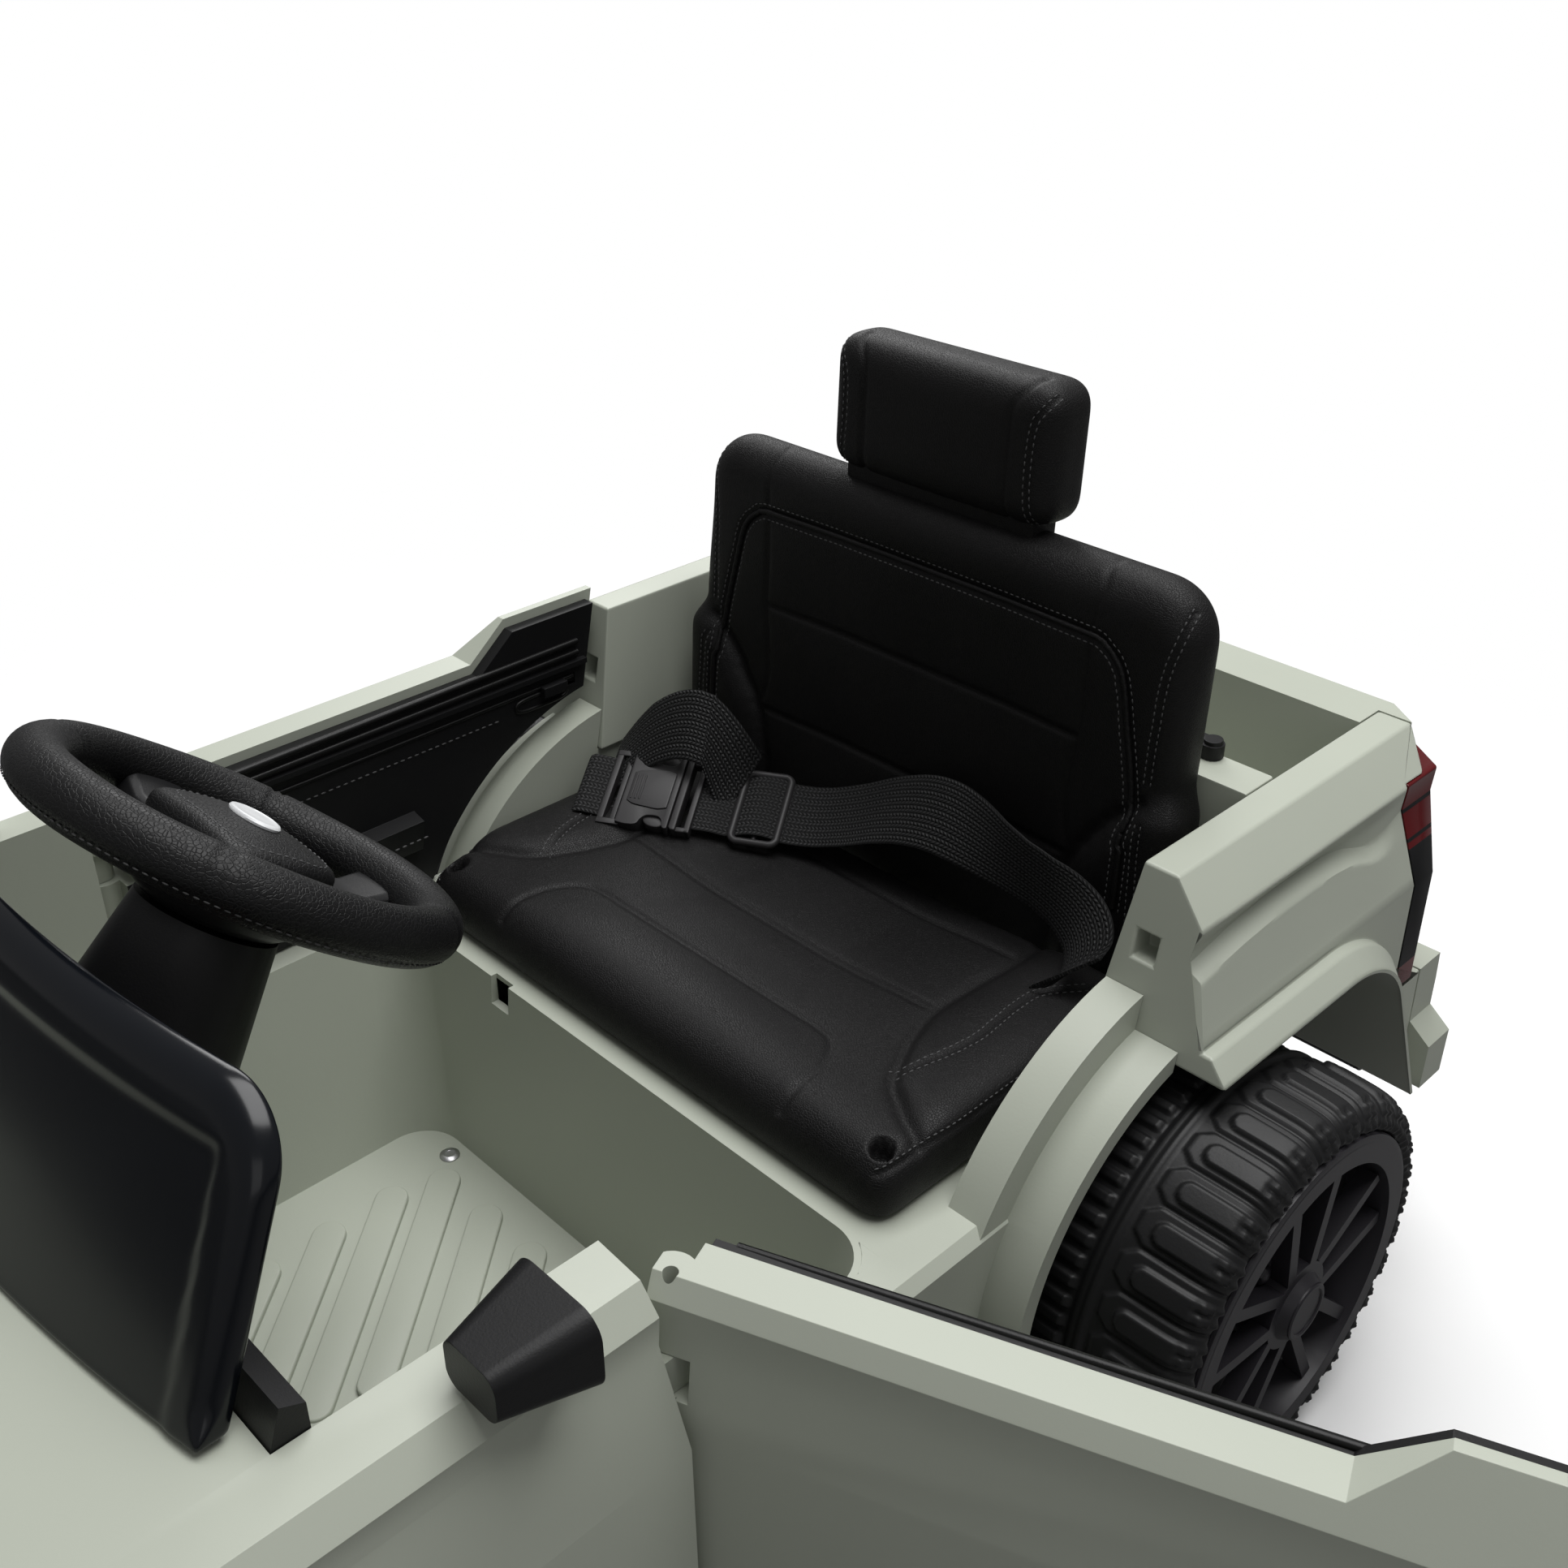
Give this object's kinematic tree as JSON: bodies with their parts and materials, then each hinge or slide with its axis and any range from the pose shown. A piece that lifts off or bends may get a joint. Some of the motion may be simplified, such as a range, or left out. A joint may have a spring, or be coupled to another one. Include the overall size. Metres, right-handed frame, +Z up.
{
  "type": "electric ride-on car",
  "caption": "Child's electric ride-on pickup with padded seat, lap belt, steered front wheels, swinging doors and an open bed.",
  "frame": {"origin": "centre of the flat underside of the pan, midway between the axles on the centre plane", "axes": "+Y to the rear of the car, +X to its left side, +Z up"},
  "size_m": [0.7484, 0.987, 0.46],
  "materials": {
    "body": "satin",
    "black_trim": "fine grain",
    "tub": "satin",
    "seat": "soft grain",
    "webbing": "woven",
    "tyre": "matt",
    "rim": "satin",
    "shield": "polished",
    "red_lens": "polished",
    "clear_lens": "polished",
    "mirror": "polished",
    "steel": "zinc plated",
    "button": "satin"
  },
  "bodies": {
    "car": {"underbody": "black_trim", "cabin_tub": "tub", "rear_quarter_left": "body", "rear_quarter_right": "body", "bed_tray": "body", "rear_panel": "body", "tailgate_handle": "black_trim", "tail_lamp_left": "red_lens", "tail_lamp_right": "red_lens", "rear_bumper": "black_trim", "front_body": "body", "grille": "black_trim", "front_bumper": "black_trim", "headlamp_left": "clear_lens", "headlamp_right": "clear_lens", "windshield": "shield", "dashboard": "black_trim", "mirror_left": "black_trim", "mirror_right": "black_trim", "mirror_glasses": "mirror", "seat_cushion": "seat", "seat_backrest": "seat", "headrest": "seat", "belt_near": "webbing", "belt_far": "webbing", "buckle_socket": "black_trim", "buckle_plug": "black_trim", "tri_glide": "black_trim", "rear_axle": "steel", "gear_motor_left": "black_trim", "gear_motor_right": "black_trim", "battery": "black_trim", "kingpins": "steel", "door_hinge_pins": "steel"},
    "seat_latch": {"seat_latch": "black_trim"},
    "door_left": {"door_left_skin": "body", "door_left_panel": "black_trim"},
    "door_left_bolt": {"door_left_bolt": "black_trim"},
    "door_right": {"door_right_skin": "body", "door_right_panel": "black_trim"},
    "door_right_bolt": {"door_right_bolt": "black_trim"},
    "steering": {"steering_wheel": "black_trim", "steering_shaft": "steel"},
    "horn_pad": {"horn_pad": "black_trim"},
    "wheel_switch_left": {"wheel_switch_left": "black_trim"},
    "wheel_switch_right": {"wheel_switch_right": "black_trim"},
    "knuckle_left": {"knuckle_left": "black_trim"},
    "knuckle_right": {"knuckle_right": "black_trim"},
    "tie_rod": {"tie_rod": "black_trim"},
    "pedal": {"pedal": "black_trim"},
    "power_button": {"power_button": "button"},
    "direction_switch": {"direction_switch": "black_trim"},
    "wheel_front_left": {"tyre_front_left": "tyre", "rim_front_left": "rim"},
    "wheel_front_right": {"tyre_front_right": "tyre", "rim_front_right": "rim"},
    "wheel_rear_left": {"tyre_rear_left": "tyre", "rim_rear_left": "rim"},
    "wheel_rear_right": {"tyre_rear_right": "tyre", "rim_rear_right": "rim"}
  },
  "joints": [
    {"name": "door_left_swing", "type": "hinge", "parent": "car", "child": "door_left", "pos_m": [0.205, -0.006, 0.152], "axis": [0, 0, 1], "range_deg": [0, 68]},
    {"name": "door_right_swing", "type": "hinge", "parent": "car", "child": "door_right", "pos_m": [-0.205, -0.006, 0.152], "axis": [0, 0, 1], "range_deg": [0, 68]},
    {"name": "door_left_bolt_slide", "type": "slide", "parent": "door_left", "child": "door_left_bolt", "axis": [0.9272, 0.3746, 0], "range_m": [0, 0.008]},
    {"name": "door_right_bolt_slide", "type": "slide", "parent": "door_right", "child": "door_right_bolt", "axis": [0, 1, 0], "range_m": [0, 0.008]},
    {"name": "seat_latch_swivel", "type": "hinge", "parent": "car", "child": "seat_latch", "pos_m": [0.146, 0.377, 0.262], "axis": [0, 0, 1], "range_deg": [-90, 0]},
    {"name": "steering_turn", "type": "hinge", "parent": "car", "child": "steering", "pos_m": [0, -0.026, 0.322], "axis": [0, 0.6225, 0.7826], "range_deg": [-60, 60]},
    {"name": "horn_press", "type": "slide", "parent": "steering", "child": "horn_pad", "axis": [0, -0.6225, -0.7826], "range_m": [0, 0.0015], "stiffness_N_per_m": 600, "springref_m": -0.001},
    {"name": "switch_left_press", "type": "slide", "parent": "steering", "child": "wheel_switch_left", "axis": [0, -0.6225, -0.7826], "range_m": [0, 0.0015], "stiffness_N_per_m": 300, "springref_m": -0.001},
    {"name": "switch_right_press", "type": "slide", "parent": "steering", "child": "wheel_switch_right", "axis": [0, -0.6225, -0.7826], "range_m": [0, 0.0015], "stiffness_N_per_m": 300, "springref_m": -0.001},
    {"name": "knuckle_left_turn", "type": "hinge", "parent": "car", "child": "knuckle_left", "pos_m": [0.16, -0.29, 0.066], "axis": [0, 0, 1], "range_deg": [-20.5, 20.5]},
    {"name": "knuckle_right_turn", "type": "hinge", "parent": "car", "child": "knuckle_right", "pos_m": [-0.16, -0.29, 0.066], "axis": [0, 0, 1], "range_deg": [-20.5, 20.5]},
    {"name": "tie_rod_shift", "type": "slide", "parent": "car", "child": "tie_rod", "axis": [1, 0, 0], "range_m": [-0.0156, 0.0156]},
    {"name": "wheel_front_left_spin", "type": "hinge", "parent": "knuckle_left", "child": "wheel_front_left", "pos_m": [0.228, -0.29, 0.066], "axis": [1, 0, 0], "continuous": true},
    {"name": "wheel_front_right_spin", "type": "hinge", "parent": "knuckle_right", "child": "wheel_front_right", "pos_m": [-0.228, -0.29, 0.066], "axis": [1, 0, 0], "continuous": true},
    {"name": "wheel_rear_left_spin", "type": "hinge", "parent": "car", "child": "wheel_rear_left", "pos_m": [0.228, 0.29, 0.066], "axis": [1, 0, 0], "continuous": true},
    {"name": "wheel_rear_right_spin", "type": "hinge", "parent": "car", "child": "wheel_rear_right", "pos_m": [-0.228, 0.29, 0.066], "axis": [1, 0, 0], "continuous": true},
    {"name": "pedal_press", "type": "hinge", "parent": "car", "child": "pedal", "pos_m": [-0.07, -0.072, 0.0206], "axis": [1, 0, 0], "range_deg": [0, 10], "stiffness_Nm_per_rad": 2, "springref_deg": -5.73},
    {"name": "power_press", "type": "slide", "parent": "car", "child": "power_button", "axis": [0, 0, -1], "range_m": [0, 0.002], "stiffness_N_per_m": 300, "springref_m": -0.001},
    {"name": "direction_rock", "type": "hinge", "parent": "car", "child": "direction_switch", "pos_m": [-0.062, -0.108, 0.267], "axis": [1, 0, 0], "range_deg": [-7, 7]}
  ],
  "couplings": [
    {"joint": "knuckle_left_turn", "follows": "steering_turn", "ratio": 0.33333},
    {"joint": "knuckle_right_turn", "follows": "steering_turn", "ratio": 0.33333},
    {"joint": "tie_rod_shift", "follows": "steering_turn", "m_per_rad": -0.0147}
  ]
}
